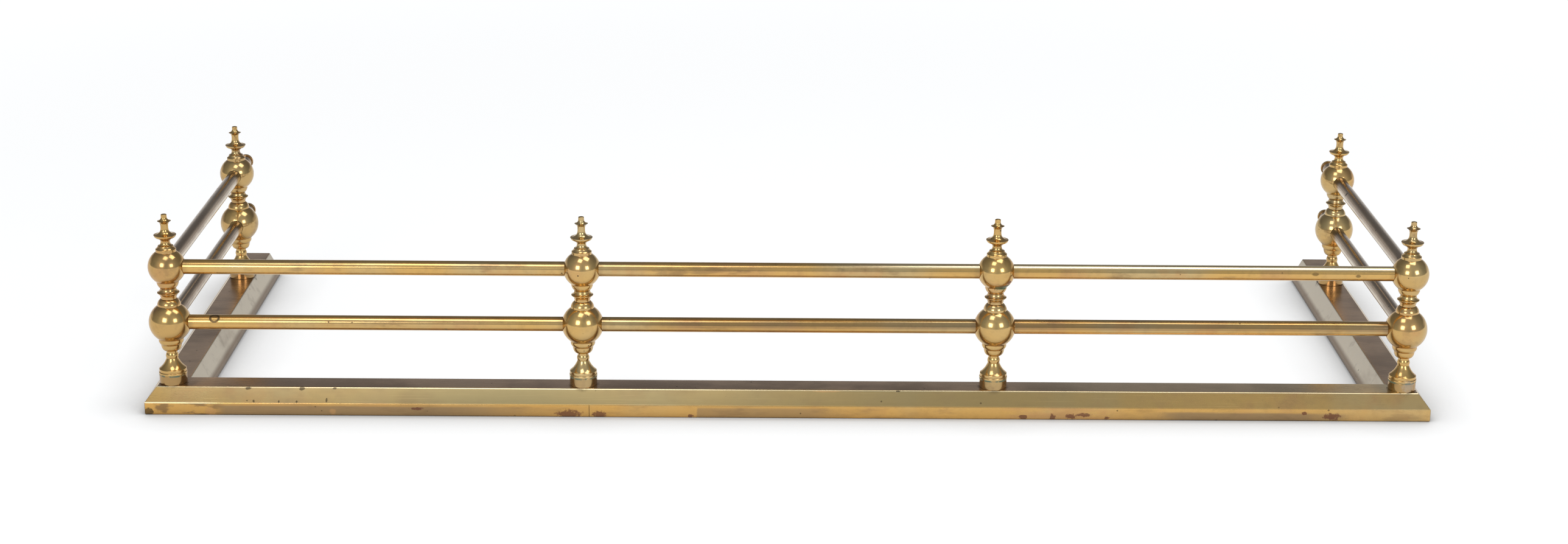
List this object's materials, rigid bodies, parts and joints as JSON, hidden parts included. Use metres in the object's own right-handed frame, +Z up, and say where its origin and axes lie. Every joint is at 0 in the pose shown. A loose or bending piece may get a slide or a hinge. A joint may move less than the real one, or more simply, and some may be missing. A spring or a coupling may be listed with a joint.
{
  "type": "fire fender",
  "caption": "Brass rail fender for a hearth: turned posts with ball knops carry two levels of tubular rail on a mitred moulded base that is open at the back.",
  "frame": {"origin": "centre of the footprint, on the plane the base rests on", "axes": "+X along the front towards the right-hand corner seen from the room, +Z up, and the front fascia faces -Y"},
  "size_m": [1.38, 0.517, 0.2163],
  "materials": {
    "turned_brass": "polished turned brass with fine lathe lines, brown tarnish in the hollows and small dark spots",
    "rail_brass": "polished drawn brass tube with lengthwise scratches and thin brown patches",
    "sheet_brass": "polished folded sheet brass with long scratches, brown blotches along the fascia and worn bright edges",
    "bolt_steel": "plain dull steel"
  },
  "bodies": {
    "root": {"base_front": "sheet_brass", "base_left_return": "sheet_brass", "base_right_return": "sheet_brass", "front_left_foot": "turned_brass", "front_left_stem": "turned_brass", "front_left_lower_ball": "turned_brass", "front_left_neck_ring": "turned_brass", "front_left_upper_ball": "turned_brass", "front_left_finial": "turned_brass", "front_left_tie_bolt": "bolt_steel", "front_mid_left_foot": "turned_brass", "front_mid_left_stem": "turned_brass", "front_mid_left_lower_ball": "turned_brass", "front_mid_left_neck_ring": "turned_brass", "front_mid_left_upper_ball": "turned_brass", "front_mid_left_finial": "turned_brass", "front_mid_left_tie_bolt": "bolt_steel", "front_mid_right_foot": "turned_brass", "front_mid_right_stem": "turned_brass", "front_mid_right_lower_ball": "turned_brass", "front_mid_right_neck_ring": "turned_brass", "front_mid_right_upper_ball": "turned_brass", "front_mid_right_finial": "turned_brass", "front_mid_right_tie_bolt": "bolt_steel", "front_right_foot": "turned_brass", "front_right_stem": "turned_brass", "front_right_lower_ball": "turned_brass", "front_right_neck_ring": "turned_brass", "front_right_upper_ball": "turned_brass", "front_right_finial": "turned_brass", "front_right_tie_bolt": "bolt_steel", "rear_left_foot": "turned_brass", "rear_left_stem": "turned_brass", "rear_left_lower_ball": "turned_brass", "rear_left_neck_ring": "turned_brass", "rear_left_upper_ball": "turned_brass", "rear_left_finial": "turned_brass", "rear_left_tie_bolt": "bolt_steel", "rear_right_foot": "turned_brass", "rear_right_stem": "turned_brass", "rear_right_lower_ball": "turned_brass", "rear_right_neck_ring": "turned_brass", "rear_right_upper_ball": "turned_brass", "rear_right_finial": "turned_brass", "rear_right_tie_bolt": "bolt_steel", "front_lower_rail_left": "rail_brass", "front_lower_rail_middle": "rail_brass", "front_lower_rail_right": "rail_brass", "left_lower_rail": "rail_brass", "rear_left_lower_cap": "turned_brass", "right_lower_rail": "rail_brass", "rear_right_lower_cap": "turned_brass", "front_upper_rail_left": "rail_brass", "front_upper_rail_middle": "rail_brass", "front_upper_rail_right": "rail_brass", "left_upper_rail": "rail_brass", "rear_left_upper_cap": "turned_brass", "right_upper_rail": "rail_brass", "rear_right_upper_cap": "turned_brass"}
  },
  "joints": []
}
